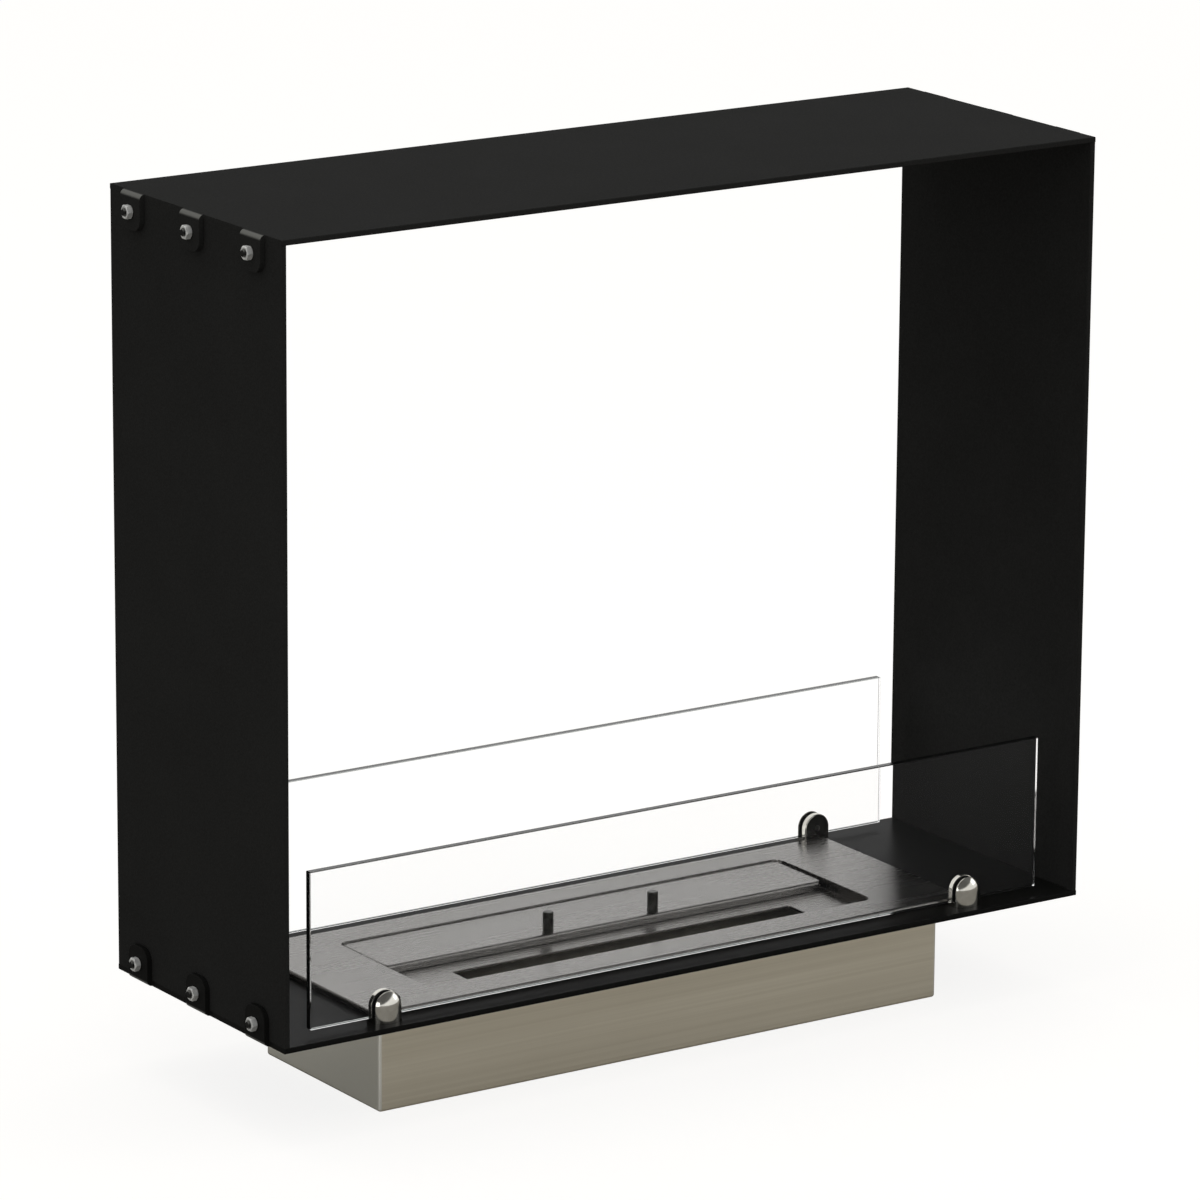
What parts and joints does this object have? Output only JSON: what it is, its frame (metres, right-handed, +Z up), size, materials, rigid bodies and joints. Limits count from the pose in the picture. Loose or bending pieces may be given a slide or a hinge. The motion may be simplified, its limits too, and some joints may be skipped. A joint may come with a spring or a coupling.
{
  "type": "see-through bioethanol fireplace",
  "caption": "Open steel fireplace frame with low glass screens in clamps and a drop-in ethanol burner whose recessed lid slides over the flame slot.",
  "frame": {"origin": "middle of the burner casing's underside, the lowest face, which is the bottom centre of the bounding box", "axes": "+Z up, +X along the frame's length to the right seen from the front, +Y from the front to the back"},
  "size_m": [0.6174, 0.2, 0.563],
  "materials": {
    "black_steel": "satin black powder coat",
    "zinc_steel": "bright zinc",
    "clear_glass": "clear, ground edges",
    "clamp_steel": "satin stainless",
    "liner_rubber": "matt black",
    "screw_steel": "plain stainless",
    "burner_steel": "brushed stainless",
    "ceramic_fibre": "matt off-white ceramic fibre"
  },
  "bodies": {
    "frame": {"top_panel": "black_steel", "bottom_panel": "black_steel", "left_panel": "black_steel", "right_panel": "black_steel", "left_panel_studs": "black_steel", "right_panel_studs": "black_steel", "left_panel_nuts": "zinc_steel", "right_panel_nuts": "zinc_steel", "front_glass": "clear_glass", "rear_glass": "clear_glass", "clamp_front_left": "clamp_steel", "clamp_front_right": "clamp_steel", "clamp_rear_left": "clamp_steel", "clamp_rear_right": "clamp_steel", "liner_front_left": "liner_rubber", "liner_front_right": "liner_rubber", "liner_rear_left": "liner_rubber", "liner_rear_right": "liner_rubber", "clamp_set_screws": "screw_steel", "clamp_base_screws": "screw_steel"},
    "burner": {"burner_deck": "burner_steel", "lid_tray": "burner_steel", "burner_casing": "burner_steel", "fuel_tank": "burner_steel", "fibre_block": "ceramic_fibre"},
    "lid": {"sliding_lid": "burner_steel", "lid_pins": "screw_steel"}
  },
  "joints": [
    {"name": "burner_lift", "type": "slide", "parent": "frame", "child": "burner", "axis": [0, 0, 1], "range_m": [0, 0.18]},
    {"name": "lid_slide", "type": "slide", "parent": "burner", "child": "lid", "axis": [0, -1, 0], "range_m": [0, 0.0515]}
  ]
}
